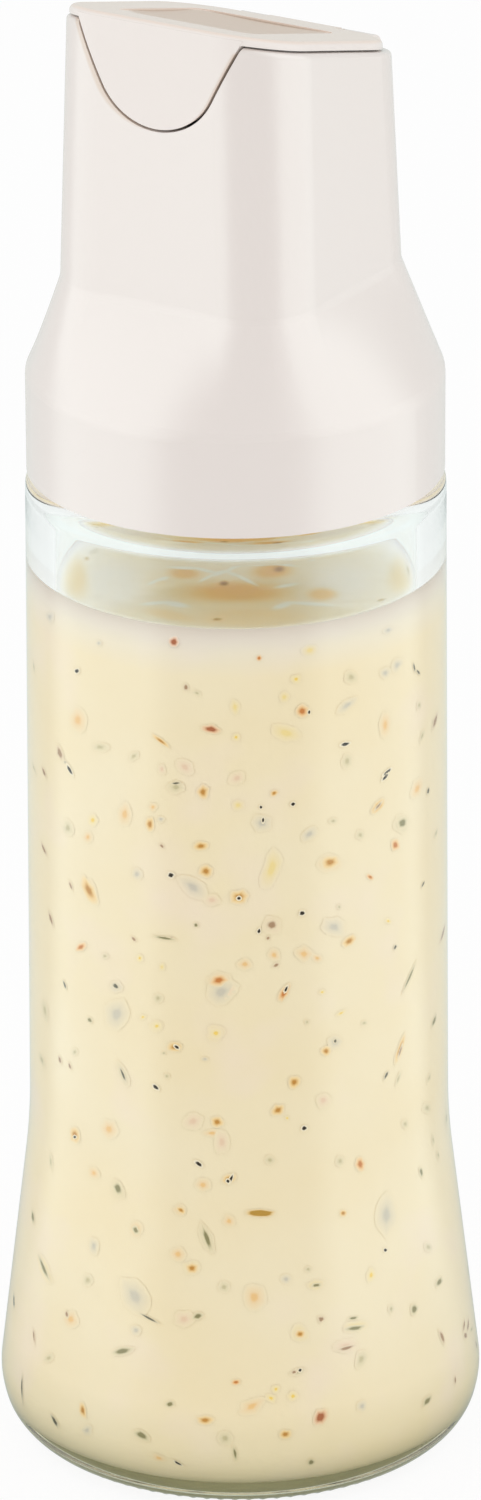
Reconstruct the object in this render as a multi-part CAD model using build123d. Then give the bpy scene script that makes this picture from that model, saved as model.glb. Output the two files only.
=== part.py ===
"""Salad dressing shaker bottle: a flared glass bottle with a screw cap and a slanted flip lid.

Millimetres. The origin is at the middle of the base on the table, +Z is up, and the spout faces -Y.
"""

import os
from math import atan, cos, degrees, pi, radians, sin, tan

from build123d import *

os.makedirs("parts", exist_ok=True)

# Clearances
thin_fit = 0.1  # between pieces that are pushed together
running_fit = 0.05  # radial, of the hinge pin in its knuckles
moving_gap = 0.4  # between pieces that move past each other
overrun = 1.0  # how far a cut runs past the face that it opens

# Glass body
shoulder_radius = 31.0
waist_swell = 0.7  # how much wider the waist is than the shoulder
flare_swell = 5.1  # and the foot of the flare's straight line than the waist
heel_inset = 1.8  # how far in from that foot the heel's line would meet the table
flare_foot_height = 8.5
waist_height = 50.2
shoulder_height = 154.4
shoulder_round = 2.3
waist_round = 100.0
foot_round = 12.0
heel_round = 7.4
glass_wall = 4.4
base_thickness = 4.0
inner_heel_round = 5.0
bearing_width = 2.2
push_up_height = 1.5

# Glass neck
shoulder_width = 6.6  # from the body's side in to the neck
shoulder_rise = 1.0
neck_wall = 3.8
neck_height = 12.6
inner_shoulder_drop = 3.0
inner_shoulder_round = 3.0
lip_round = 1.1

# Dressing
fill_drop = 14.9  # from the shoulder down to its level

# Screw cap skirt, flare and tower
cap_inset = 0.2  # how far the skirt stands in from the glass shoulder
cap_lift_off_glass = 0.8
skirt_height = 15.2
flare_inset = 9.95  # from the skirt's side in to the tower's flat side
flare_height = 15.8
cap_wall = 1.9
tower_height = 41.05  # at the front
tower_taper = 1.25  # each side, from the tower's foot to its rim's front
tower_corner = 10.2
tower_low_set = 0.95  # how far the tower stands forward of the axis at its foot
tower_high_set = 1.45  # and at the front of its rim
rim_slope = 15.0  # degrees
ridge_round = 4.0
tower_foot_round = 3.0
rim_round = 0.7

# Pouring notch in the front face
notch_drop = 14.7
notch_round = 10.5
notch_flank = 63.0  # degrees from level
notch_corner_round = 1.0

# Threaded collar and gasket
thread_room = 1.8  # between the neck and the collar, for the thread
collar_wall = 1.8
collar_foot_gap = 1.5
collar_foot_height = 1.8
collar_web = 1.8
collar_web_lip = 2.0  # how far the web reaches in past the neck's bore
collar_bead_height = 1.6
collar_bead_drop = 3.2
gasket_thickness = 1.6
gasket_lip = 0.4  # how far the gasket reaches past the neck, inside and out

# Pour insert
deck_drop = 2.3  # from the rim's plane to the deck's top
deck_thickness = 1.6
deck_skirt = 5.0
insert_wall = 1.5
trough_back = 5.0
tube_set = 4.0  # how far the pour tube stands forward of the axis
tube_bore_radius = 4.6
tube_wall = 1.3
tube_rise = 2.4  # above the bottom of the notch
tube_length = 8.0
air_hole_radius = 1.4
air_hole_back = 11.0

# Lid
lid_gap = 0.3
lid_thickness = 1.3
lid_inset = 0.8  # at the sides; the lid's front is flush with the tower
lid_edge_round = 0.9
dish_border = 7.2
dish_depth = 0.75
dish_edge_depth = 0.4
liner_thickness = 1.4
liner_gap = 0.6
boss_radius = 4.2
seal_thickness = 1.8
seal_gap = 0.2
spigot_length = 2.2
spigot_gap = 0.3
spigot_taper = 0.6

# Hinge
pin_radius = 1.0
knuckle_radius = 2.4
pin_stand_off = 1.7  # behind the tower's back face
pin_drop = 1.2  # below the rim's plane
lid_knuckle_length = 12.0
cap_knuckle_length = 5.0
gusset_drop = 7.0
hinge_tab_thickness = 1.1

# Radii worked out from the sizes above
waist_radius = shoulder_radius + waist_swell
flare_foot_radius = waist_radius + flare_swell
heel_radius = flare_foot_radius - heel_inset
neck_radius = shoulder_radius - shoulder_width
neck_bore_radius = neck_radius - neck_wall
cap_radius = shoulder_radius - cap_inset
tower_low_side = 2 * (cap_radius - flare_inset)
tower_high_side = tower_low_side - 2 * tower_taper

# Heights worked out from the sizes above
neck_foot = shoulder_height + shoulder_rise
neck_top = neck_foot + neck_height
cap_rim = shoulder_height + cap_lift_off_glass
ridge = cap_rim + skirt_height
tower_foot = ridge + flare_height
rim_front_height = tower_foot + tower_height
fill_height = shoulder_height - fill_drop
slope = tan(radians(rim_slope))
flare_lean = (flare_foot_radius - waist_radius) / (waist_height - flare_foot_height)
body_lean = (waist_radius - shoulder_radius) / (shoulder_height - waist_height)
on_foot = (Align.CENTER, Align.CENTER, Align.MIN)


def tower_side(height):
    """Width of the tower's outside at a height."""
    return tower_low_side + (tower_high_side - tower_low_side) * (height - tower_foot) / tower_height


def tower_middle(height):
    """Where the middle of the tower lies along Y at a height."""
    return -tower_low_set - (tower_high_set - tower_low_set) * (height - tower_foot) / tower_height


front_face = tower_middle(rim_front_height) - tower_side(rim_front_height) / 2
back_lean = (tower_middle(rim_front_height) + tower_side(rim_front_height) / 2
             - tower_middle(tower_foot) - tower_side(tower_foot) / 2) / tower_height
rim_back_height = rim_front_height - slope * tower_high_side / (1 + slope * back_lean)
back_face = tower_middle(rim_back_height) + tower_side(rim_back_height) / 2
notch_bottom = rim_front_height - notch_drop
tube_top = notch_bottom + tube_rise
pin_y = back_face + pin_stand_off
pin_z = rim_back_height - slope * pin_stand_off - pin_drop
block = 4 * cap_radius  # a block larger than the cap, for cutting


rim_plane = Plane(
    origin=(0, front_face, rim_front_height),
    x_dir=(1, 0, 0),
    z_dir=(0, sin(radians(rim_slope)), cos(radians(rim_slope))),
)


def slab(low, high):
    """The space between two levels, both counted up from the plane of the tower's rim."""
    return rim_plane * Pos(0, 0, low) * Box(block, block, high - low, align=on_foot)


def cylinder(radius, low, high, set_forward=0):
    """An upright round bar, from one height to another."""
    return Pos(0, -set_forward, low) * Cylinder(radius, high - low, align=on_foot)


def turned(points, rounds):
    """A half section in the XZ plane with rounded corners, turned about the axis."""
    section = make_face(FilletPolyline(*points, radius=rounds, close=True))
    return revolve(Plane.XZ * section, Axis.Z)


def squared_section(height, inset, forward=0):
    """The tower's rounded-square section at a height, moved in from its outside, and forward."""
    side = tower_side(height) - 2 * inset
    return Pos(0, tower_middle(height) - forward, height) * RectangleRounded(side, side, tower_corner - inset)


def tower_form(inset, forward=0):
    """The tapered tower as a solid, from its foot to well above its rim."""
    heights = (tower_foot, rim_front_height + cap_radius / 2)
    return loft([squared_section(height, inset, forward) for height in heights], ruled=True)


def round_section(radius, height, inset):
    """A circle of eight arcs, one for each side and corner of the tower's section above it."""
    half_side = tower_side(tower_foot) / 2 - inset
    half_angle = degrees(atan((tower_side(tower_foot) / 2 - tower_corner) / half_side))
    arcs = []
    for quarter in range(4):
        start = 90 * quarter
        arcs.append(CenterArc((0, 0), radius, start - half_angle, 2 * half_angle))
        arcs.append(CenterArc((0, 0), radius, start + half_angle, 90 - 2 * half_angle))
    return Pos(0, 0, height) * make_face(arcs)


def u_face(offset, shoulder_round=None):
    """The U of the notch moved out by an offset; a shoulder round opens it out level at the rim."""
    flank = radians(notch_flank)
    bottom_round = notch_round + offset
    apex = notch_bottom + notch_round - bottom_round / cos(flank)
    top = rim_front_height + cap_radius
    side = [((rim_front_height - apex) / tan(flank), rim_front_height), (3 * cap_radius, rim_front_height)]
    rounds = [shoulder_round, 0]
    if shoulder_round is None:
        side = []
        rounds = []
    top_x = 3 * cap_radius if side else (top - apex) / tan(flank)
    right = side + [(top_x, top)]
    left = [(-x, z) for x, z in reversed(right)]
    radii = [bottom_round] + rounds + [0, 0] + rounds[::-1]
    return Plane.XZ * make_face(FilletPolyline((0, apex), *right, *left, radius=radii, close=True))


def u_prism(face, front, back):
    """A face of the notch as a prism along Y, from a front to a back."""
    return Pos(0, back, 0) * extrude(face, amount=back - front)


def rod(radius, left, right):
    """A round bar on the hinge's axis, from one X to another."""
    return Pos(left, pin_y, pin_z) * Rot(0, 90, 0) * Cylinder(radius, right - left, align=on_foot)


def ring(outer, inner, low, high):
    """A round ring about the bottle's axis."""
    return cylinder(outer, low, high) - cylinder(inner, low, high)


# Glass bottle
def glass_bottle():
    heel_turn = pi / 2 - atan((flare_foot_radius - heel_radius) / flare_foot_height)
    push_up_radius = heel_radius - heel_round * tan(heel_turn / 2) - bearing_width
    inner_waist = waist_radius - glass_wall
    outside = turned(
        [
            (0, 0),
            (heel_radius, 0),
            (flare_foot_radius, flare_foot_height),
            (waist_radius, waist_height),
            (shoulder_radius, shoulder_height),
            (neck_radius, neck_foot),
            (neck_radius, neck_top),
            (0, neck_top),
        ],
        [0, heel_round, foot_round, waist_round, shoulder_round, lip_round, lip_round, 0],
    )
    inside = turned(
        [
            (0, base_thickness),
            (inner_waist + flare_lean * (waist_height - base_thickness), base_thickness),
            (inner_waist, waist_height),
            (shoulder_radius - glass_wall, shoulder_height - inner_shoulder_drop),
            (neck_bore_radius, neck_foot),
            (neck_bore_radius, neck_top + overrun),
            (0, neck_top + overrun),
        ],
        [0, inner_heel_round, waist_round, inner_shoulder_round, inner_shoulder_round, 0, 0],
    )
    dome_radius = (push_up_radius**2 + push_up_height**2) / (2 * push_up_height)
    push_up = Pos(0, 0, push_up_height - dome_radius) * Sphere(dome_radius)
    return outside - inside - push_up


# Dressing up to its level, a hair inside the glass
def dressing_fill():
    inner_waist = waist_radius - glass_wall - thin_fit
    floor = base_thickness + thin_fit
    return turned(
        [
            (0, floor),
            (inner_waist + flare_lean * (waist_height - floor), floor),
            (inner_waist, waist_height),
            (inner_waist - body_lean * (fill_height - waist_height), fill_height),
            (0, fill_height),
        ],
        [0, inner_heel_round, waist_round, 0, 0],
    )


# Silicone ring on the glass lip
def neck_gasket():
    bore = neck_bore_radius - gasket_lip
    return ring(neck_radius + gasket_lip, bore, neck_top, neck_top + gasket_thickness)


# Threaded collar inside the skirt
def threaded_collar():
    bore = neck_radius + thread_room
    outer = bore + collar_wall
    seat = cap_radius - cap_wall - thin_fit
    foot = cap_rim + collar_foot_gap
    web = neck_top + gasket_thickness
    bead = web - collar_bead_drop
    collar = ring(outer, bore, foot, web + collar_web)
    collar += ring(outer, neck_bore_radius - collar_web_lip, web, web + collar_web)
    collar += ring(seat, bore, foot, foot + collar_foot_height)
    collar += ring(seat, bore, bead, bead + collar_bead_height)
    return collar


# Cap: skirt, flare and tower in one moulding, open below
def cap_form(inset):
    skirt = cylinder(cap_radius - inset, cap_rim, ridge)
    circle = round_section(cap_radius - inset, ridge, inset)
    flare = loft([circle, squared_section(tower_foot, inset)], ruled=True)
    return skirt + flare + tower_form(inset)


def level_edges(form, height):
    """The edges of a form that lie at one height."""
    return form.edges().filter_by_position(Axis.Z, height - thin_fit, height + thin_fit)


def cap_shell():
    outside = cap_form(0)
    outside = fillet(level_edges(outside, ridge), ridge_round)
    outside = fillet(level_edges(outside, tower_foot), tower_foot_round)
    outside -= slab(0, block)
    rim_face = outside.faces().sort_by(Axis(rim_plane.origin, rim_plane.z_dir))[-1]
    outside = fillet(rim_face.edges(), rim_round)
    shell = outside - cap_form(cap_wall)
    shell -= cylinder(cap_radius - cap_wall, cap_rim - overrun, cap_rim + overrun)
    notch = u_face(0, notch_corner_round)
    shell -= u_prism(notch, front_face - overrun, tower_middle(rim_front_height))
    inner = lid_knuckle_length / 2 + moving_gap
    outer = inner + cap_knuckle_length
    gusset_foot = pin_z - gusset_drop
    foot_y = tower_middle(gusset_foot) + tower_side(gusset_foot) / 2
    gusset_face = Plane.YZ * make_face(
        Polyline(
            (pin_y - knuckle_radius, pin_z),
            (pin_y + knuckle_radius, pin_z),
            (foot_y, gusset_foot),
            (foot_y - cap_wall / 2, gusset_foot),
            close=True,
        )
    )
    for left, right in ((-outer, -inner), (inner, outer)):
        shell += Pos(left, 0, 0) * extrude(gusset_face, amount=right - left)
        shell += rod(knuckle_radius, left, right)
    shell -= rod(knuckle_radius + moving_gap, -inner, inner)
    shell -= rod(pin_radius + running_fit / 2, -outer - overrun, outer + overrun)
    return shell


# Tray under the lid: deck, pouring trough, pour tube and air hole
def pour_insert():
    outside = tower_form(cap_wall + thin_fit)
    inside = tower_form(cap_wall + thin_fit + insert_wall)
    tray = outside & slab(-deck_drop - deck_thickness, -deck_drop)
    tray += (outside - inside) & slab(-deck_drop - deck_skirt, -deck_drop)
    tray += (u_prism(u_face(insert_wall), front_face, trough_back + insert_wall) & outside) - slab(-deck_drop, block)
    tray -= u_prism(u_face(0), front_face - overrun, trough_back)
    foot = tube_top - tube_length
    tray += cylinder(tube_bore_radius + tube_wall, foot, tube_top, tube_set)
    tray -= cylinder(tube_bore_radius, foot - overrun, tube_top + overrun, tube_set)
    tray -= Pos(0, air_hole_back, rim_back_height) * Cylinder(air_hole_radius, tube_length)
    return tray


# Lid with its tongue, thumb dish and hinge knuckle
def lid_shell():
    top = lid_gap + lid_thickness
    plate = tower_form(lid_inset, lid_inset) & slab(lid_gap, top)
    top_face = plate.faces().sort_by(Axis(rim_plane.origin, rim_plane.z_dir))[-1]
    plate = fillet(top_face.edges(), lid_edge_round)
    half_dish = tower_high_side / 2 - lid_inset - dish_border
    sag = dish_depth - dish_edge_depth
    dish_radius = (half_dish**2 + sag**2) / (2 * sag)
    rim_middle = tower_high_side / cos(radians(rim_slope)) / 2
    ball = rim_plane * Pos(0, rim_middle, top - dish_depth + dish_radius) * Sphere(dish_radius)
    plate -= ball & tower_form(lid_inset + dish_border, lid_inset)
    wall = tower_form(0) - tower_form(cap_wall)
    tongue = wall & u_prism(u_face(-moving_gap), front_face - overrun, front_face + 2 * cap_wall)
    tongue -= slab(lid_gap + lid_thickness / 2, block)
    half = lid_knuckle_length / 2
    tab_front = back_face - cap_wall
    tab = Pos(0, tab_front, rim_back_height) * Box(
        lid_knuckle_length, pin_y - tab_front, block, align=(Align.CENTER, Align.MIN, Align.CENTER)
    )
    lid = plate + tongue + (tab & slab(lid_gap, lid_gap + hinge_tab_thickness))
    lid += rod(knuckle_radius, -half, half)
    lid -= rod(pin_radius + running_fit, -half - overrun, half + overrun)
    return lid


# Plate under the lid, with the boss that carries the seal
def lid_liner():
    plate = tower_form(cap_wall + liner_gap) & slab(lid_gap - liner_thickness, lid_gap)
    boss = cylinder(boss_radius, tube_top + seal_gap + seal_thickness, rim_front_height + block, tube_set)
    return plate + (boss - slab(lid_gap, 2 * block))


# Silicone stopper with a tapered spigot in the pour tube
def spout_seal():
    low = tube_top + seal_gap
    disc = cylinder(tube_bore_radius + tube_wall, low, low + seal_thickness, tube_set)
    wide = tube_bore_radius - spigot_gap
    spigot = Cone(wide - spigot_taper, wide, spigot_length, align=on_foot)
    return disc + Pos(0, -tube_set, low - spigot_length) * spigot


# Steel pin through all three knuckles
def hinge_pin():
    half = lid_knuckle_length / 2 + moving_gap + cap_knuckle_length
    return rod(pin_radius, -half, half)


pieces = {
    "glass_bottle": glass_bottle(),
    "dressing_fill": dressing_fill(),
    "neck_gasket": neck_gasket(),
    "threaded_collar": threaded_collar(),
    "cap_shell": cap_shell(),
    "pour_insert": pour_insert(),
    "lid_shell": lid_shell(),
    "lid_liner": lid_liner(),
    "spout_seal": spout_seal(),
    "hinge_pin": hinge_pin(),
}
for name, piece in pieces.items():
    export_step(piece, f"parts/{name}.step")
    print(name, round(piece.volume / 1000, 2), "ml")
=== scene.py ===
import math
import random

import bpy
from mathutils import Matrix, Vector, noise


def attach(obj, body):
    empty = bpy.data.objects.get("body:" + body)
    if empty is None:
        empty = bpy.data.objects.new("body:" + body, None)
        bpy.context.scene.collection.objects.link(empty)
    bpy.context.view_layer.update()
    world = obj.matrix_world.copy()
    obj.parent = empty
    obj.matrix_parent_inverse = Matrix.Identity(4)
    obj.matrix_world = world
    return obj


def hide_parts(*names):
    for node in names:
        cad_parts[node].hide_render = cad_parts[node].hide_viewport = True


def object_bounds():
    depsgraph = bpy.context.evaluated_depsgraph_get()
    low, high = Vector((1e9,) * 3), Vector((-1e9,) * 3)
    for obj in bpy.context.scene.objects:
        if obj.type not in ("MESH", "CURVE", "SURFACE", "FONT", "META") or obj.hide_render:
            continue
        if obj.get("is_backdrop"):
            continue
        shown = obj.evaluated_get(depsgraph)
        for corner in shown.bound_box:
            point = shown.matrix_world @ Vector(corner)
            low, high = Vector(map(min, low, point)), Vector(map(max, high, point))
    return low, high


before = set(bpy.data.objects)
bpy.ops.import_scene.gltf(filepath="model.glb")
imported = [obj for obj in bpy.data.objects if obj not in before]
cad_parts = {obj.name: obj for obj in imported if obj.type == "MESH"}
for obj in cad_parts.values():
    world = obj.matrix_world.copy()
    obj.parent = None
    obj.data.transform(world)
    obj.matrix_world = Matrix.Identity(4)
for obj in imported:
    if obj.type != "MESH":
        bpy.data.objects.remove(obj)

cad_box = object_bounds()
MM = 0.001
TURN = 2 * math.pi

# Sizes of the bottle, in millimetres, as the CAD part has them
SHOULDER_R, WAIST_R, FLARE_FOOT_R, HEEL_R = 31.0, 31.7, 36.8, 35.0
FLARE_FOOT_Z, WAIST_Z, SHOULDER_Z = 8.5, 50.2, 154.4
SHOULDER_ROUND, WAIST_ROUND, FOOT_ROUND, HEEL_ROUND, LIP_ROUND = 2.3, 100.0, 12.0, 7.4, 1.1
WALL, BASE, INNER_HEEL_ROUND, INNER_SHOULDER_DROP, INNER_SHOULDER_ROUND = 4.4, 4.0, 5.0, 3.0, 3.0
BEARING_OUTER_R, BEARING_INNER_R, PUSH_UP = 29.0, 26.8, 1.5
COLLAR_BORE_R = 26.2
RIM_FRONT_Z, RIM_FRONT_Y, RIM_SLOPE = 227.25, -21.05, math.radians(15)
LID_TOP, LID_SIDE, DISH_INSET, DISH_BAND = 1.6, 37.5, 6, (0.6, 0.4)
NOTCH_MIDDLE_Z, NOTCH_ROUND, NOTCH_FLANK = 223.05, 10.5, math.radians(63)
NOTCH_FACE_Y = -17.0  # the tower's front wall lies before this
# The notch's edges and the tongue's side carry painted shade; these give how far it reaches sideways
NOTCH_SHADE_ON_CAP, NOTCH_SHADE_ON_LID = 1.0, 0.8  # how far the warm edges of notch and tongue reach sideways
TRIM = 0.01  # how far the glass of the scene stays inside the CAD one
NECK_R, NECK_BORE_R, NECK_FOOT_Z, NECK_TOP_Z = 24.4, 20.6, 155.4, 168.0
FILL_Z = 139.5
LEAN = (FLARE_FOOT_R - WAIST_R) / (WAIST_Z - FLARE_FOOT_Z)

# Sizes that only the scene has, in millimetres
THREAD_PITCH, THREAD_SINK = 4.0, 0.05  # of the screw thread, and how far it is sunk in its wall
KNURL_RIBS, KNURL_DEPTH, KNURL_TOP = 96, 0.3, 1.4  # the fine ribs across the bearing ring
CONTACT = 0.05  # how far the dressing reaches into the glass, so that it wets it
MENISCUS, MENISCUS_REACH = 0.7, 0.8  # how far the dressing climbs the glass, and over what width

# How finely the meshes are cut
ARC_STEPS, DOME_STEPS = 14, 16
DRESSING_SEGMENTS, TOP_RINGS = 256, 64
THREAD_STEPS, THREAD_SECTION = 64, 7
FLECK_SIDES = 12

# The camera, as fitted to the photograph
IMAGE_W, IMAGE_H = 481, 1500
AZIMUTH, ELEVATION, ROLL = math.radians(31.7), math.radians(22.505), math.radians(-0.298)
DISTANCE, FOCAL_PX, LOOK_SIDE, LOOK_Z = 1300.0, 8720.42, 0.483, 109.54
SENSOR = 36.0
FLECK_GROWTH = 1.15  # how much larger the flecks are drawn than they were read, as their rims fade out

# What reflections see: the glow at the camera's side, at both sides and behind, the cosines of the angles from
# the camera between which it changes, and the shaded floor near the bottle, with the distances where that ends
FRONT_GLOW, SIDE_GLOW, BACK_GLOW = 0.35, 2.0, 0.75
FRONT_EDGE, BACK_EDGE = (0.62, 0.88), (-0.2, -0.55)
SIDE_TINT = (0.88, 1.0, 0.98)
NEAR_GLOW, NEAR_EDGE = 0.5, (40, 180)
AMBIENT = 0.89
GLASS_IOR = 1.5


# Camera
def camera_axes():
    """The camera's place in millimetres, and its right, up and forward directions."""
    c, s = math.cos(AZIMUTH), math.sin(AZIMUTH)
    ce, se = math.cos(ELEVATION), math.sin(ELEVATION)
    place = Vector((c * LOOK_SIDE + s * DISTANCE * ce, s * LOOK_SIDE - c * DISTANCE * ce, LOOK_Z + DISTANCE * se))
    forward = Vector((-s * ce, c * ce, -se))
    right = Vector((c, s, 0))
    up = right.cross(forward)
    turned_right = math.cos(ROLL) * right + math.sin(ROLL) * up
    turned_up = -math.sin(ROLL) * right + math.cos(ROLL) * up
    return place, turned_right, turned_up, forward


def add_camera():
    place, right, up, forward = camera_axes()
    data = bpy.data.cameras.new("camera")
    data.sensor_width = SENSOR
    data.lens = FOCAL_PX * SENSOR / IMAGE_H
    data.clip_start = 0.01
    camera = bpy.data.objects.new("camera", data)
    rotation = Matrix((right, up, -forward)).transposed().to_4x4()
    camera.matrix_world = Matrix.Translation(place * MM) @ rotation
    bpy.context.scene.collection.objects.link(camera)
    bpy.context.scene.camera = camera


# Helpers for meshes
def new_object(name, verts, faces):
    """A smooth-shaded mesh from points in millimetres."""
    mesh = bpy.data.meshes.new(name)
    mesh.from_pydata([Vector(v) * MM for v in verts], [], faces)
    mesh.validate()
    mesh.shade_smooth()
    obj = bpy.data.objects.new(name, mesh)
    bpy.context.scene.collection.objects.link(obj)
    return obj


def rounded(points, rounds):
    """An open line in (r, z) whose inner corners are turned into arcs of the given radii."""
    line = [Vector(points[0])]
    for before, corner, after, radius in zip(points, points[1:], points[2:], rounds):
        corner = Vector(corner)
        inward = (Vector(before) - corner).normalized()
        outward = (Vector(after) - corner).normalized()
        if radius == 0:
            line.append(corner)
            continue
        half = inward.angle(outward) / 2
        reach = radius / math.tan(half)
        centre = corner + (inward + outward).normalized() * (radius / math.sin(half))
        start, end = corner + inward * reach - centre, corner + outward * reach - centre
        sweep = start.angle_signed(end)
        for k in range(ARC_STEPS + 1):
            angle = sweep * k / ARC_STEPS
            turn = Matrix.Rotation(-angle, 2)
            line.append(centre + turn @ start)
    line.append(Vector(points[-1]))
    return line


def split_long(line, longest):
    """The same line with its long runs cut into shorter ones."""
    out = [line[0]]
    for a, b in zip(line, line[1:]):
        pieces = max(1, math.ceil((b - a).length / longest))
        out += [a.lerp(b, k / pieces) for k in range(1, pieces + 1)]
    return out


def lathe(name, line, segments, shift):
    """The line in (r, z) turned about Z, each point raised by shift. Ends on the axis become single points."""
    verts, rings = [], []
    for r, z in line:
        if r < 1e-6:
            rings.append([len(verts)] * segments)
            verts.append((0, 0, z))
            continue
        rings.append(list(range(len(verts), len(verts) + segments)))
        for k in range(segments):
            angle = TURN * k / segments
            verts.append((r * math.cos(angle), r * math.sin(angle), z + shift(r, z, angle)))
    faces = []
    for low, high in zip(rings, rings[1:]):
        for k in range(segments):
            n = (k + 1) % segments
            corners = [low[k], low[n], high[n], high[k]]
            faces.append(list(dict.fromkeys(corners)))
    return new_object(name, verts, [f for f in faces if len(f) > 2])


# Helpers for materials
def add_node(tree, kind, inputs=(), **settings):
    """A shader node, whose inputs are sockets to link or plain values."""
    made = tree.nodes.new("ShaderNode" + kind)
    for key, value in settings.items():
        setattr(made, key, value)
    for key, value in dict(inputs).items():
        if isinstance(value, bpy.types.NodeSocket):
            tree.links.new(value, made.inputs[key])
        else:
            made.inputs[key].default_value = value
    return made


def mix_colours(tree, factor, a, b):
    """A node that blends two colours, each a socket or three numbers; gives its result socket."""
    made = tree.nodes.new("ShaderNodeMix")
    made.data_type = "RGBA"
    for key, value in (("Factor_Float", factor), ("A_Color", a), ("B_Color", b)):
        socket = next(s for s in made.inputs if s.identifier == key)
        if isinstance(value, bpy.types.NodeSocket):
            tree.links.new(value, socket)
        else:
            socket.default_value = value if key == "Factor_Float" else (*value, 1)
    return next(s for s in made.outputs if s.identifier == "Result_Color")


class Nodes:
    """A material with a Principled shader, and short calls that add nodes to it."""

    def __init__(self, name, colour, roughness, **sockets):
        self.material = bpy.data.materials.new(name)
        self.material.use_nodes = True
        self.tree = self.material.node_tree
        self.shader = self.tree.nodes["Principled BSDF"]
        self.shader.inputs["Base Color"].default_value = (*colour, 1)
        self.shader.inputs["Roughness"].default_value = roughness
        for socket, value in sockets.items():
            self.shader.inputs[socket.replace("_", " ")].default_value = value
        self.place = self.tree.nodes.new("ShaderNodeTexCoord").outputs["Object"]

    def node(self, kind, inputs=(), **settings):
        return add_node(self.tree, kind, inputs, **settings)

    def noise(self, scale, detail=2.0, vector=None):
        inputs = {"Scale": scale, "Detail": detail, "Vector": vector or self.place}
        return self.node("TexNoise", inputs).outputs["Fac"]

    def spread(self, value, low, high, to_low=0.0, to_high=1.0):
        inputs = {"Value": value, "From Min": low, "From Max": high, "To Min": to_low, "To Max": to_high}
        return self.node("MapRange", inputs).outputs["Result"]

    def mix(self, factor, a, b):
        return mix_colours(self.tree, factor, a, b)

    def maths(self, operation, *values):
        return self.node("Math", dict(enumerate(values)), operation=operation).outputs[0]

    def bump(self, height, strength, distance):
        made = self.node("Bump", {"Strength": strength, "Distance": distance, "Height": height})
        self.tree.links.new(made.outputs["Normal"], self.shader.inputs["Normal"])

    def feed(self, socket, value):
        self.tree.links.new(value, self.shader.inputs[socket])

    def height(self):
        return self.node("SeparateXYZ", {0: self.place}).outputs["Z"]

    def dot(self, vector, axis):
        return self.node("VectorMath", {0: vector, 1: axis}, operation="DOT_PRODUCT").outputs["Value"]

    def shadow_clear(self, where):
        """Rays from lamps pass straight through, and so do those that light what is behind, where told to."""
        path = self.node("LightPath")
        lighting = self.maths("MULTIPLY", path.outputs["Is Diffuse Ray"], where)
        either = self.maths("MAXIMUM", path.outputs["Is Shadow Ray"], lighting)
        clear = self.node("BsdfTransparent", {"Color": (1, 1, 1, 1)})
        mixer = self.node("MixShader", {0: either, 1: self.shader.outputs[0], 2: clear.outputs[0]})
        output = self.tree.nodes["Material Output"]
        self.tree.links.new(mixer.outputs[0], output.inputs["Surface"])


def use(obj, nodes):
    obj.data.materials.clear()
    obj.data.materials.append(nodes.material)


# Materials
CAP_COLOUR = (0.82, 0.75, 0.71)
# The lid's own colour is painted lighter than the cap's as a painted sheen; its border and dish colours are painted
# shade on its top
LID_COLOUR_AND_SHEEN, LID_BORDER_SHADE, LID_DISH_SHADE = (0.86, 0.80, 0.76), (0.87, 0.75, 0.67), (0.69, 0.585, 0.50)
# Painted shade along the edges beside the notch's gap
NOTCH_SHADE_COLOUR = (0.73, 0.61, 0.52)
GLASS_TINT, FOOT_TINT, KNURL_PAINTED_SHADE = (0.92, 0.95, 0.935), (0.50, 0.55, 0.44), (0.10, 0.12, 0.07)
CREAM, DEEP_CREAM, PINK_CREAM = (0.93, 0.805, 0.56), (0.92, 0.775, 0.505), (0.93, 0.78, 0.62)
TOP_CREAM, RIM_CREAM, FOOT_CREAM = (0.85, 0.80, 0.73), (0.98, 0.86, 0.73), (0.90, 0.80, 0.48)
OIL, PALE_OIL = (0.99, 0.71, 0.45), (1.0, 0.75, 0.53)
OIL_DEPTH = 80  # how far light goes in the dressing before it scatters, in millimetres
FOOT_TINT_BAND = (3, 17)  # the heights between which the glass goes from the foot's tint to its own


def clear_glass():
    """Clear glass, tinted where it is thick at the foot, with painted shade on the ribs under it."""
    glass = Nodes("clear_glass", GLASS_TINT, 0.0, IOR=GLASS_IOR, Transmission_Weight=1.0)
    parts = glass.node("SeparateXYZ", {0: glass.place}).outputs
    height = parts["Z"]
    low_z, high_z = FOOT_TINT_BAND
    tint = glass.mix(glass.spread(height, low_z * MM, high_z * MM), FOOT_TINT, GLASS_TINT)
    # painted shade in stripes along the ribs of the bearing ring
    around = glass.maths("MULTIPLY", glass.maths("ARCTAN2", parts["Y"], parts["X"]), float(KNURL_RIBS))
    ribs = glass.spread(glass.maths("COSINE", around), -0.1, 0.6)
    low = glass.spread(height, (KNURL_TOP + 0.1) * MM, (KNURL_TOP - 0.1) * MM)
    glass.feed("Base Color", glass.mix(glass.maths("MULTIPLY", ribs, low), tint, KNURL_PAINTED_SHADE))
    glass.shadow_clear(glass.maths("GREATER_THAN", height, (PUSH_UP + 0.1) * MM))
    return glass


def marked(nodes, colour):
    """The colour, with the own colour of each mark mixed in where the mesh of marks carries one."""
    fleck = nodes.node("Attribute", attribute_name="fleck")
    return nodes.mix(fleck.outputs["Alpha"], colour, fleck.outputs["Color"])


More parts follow.
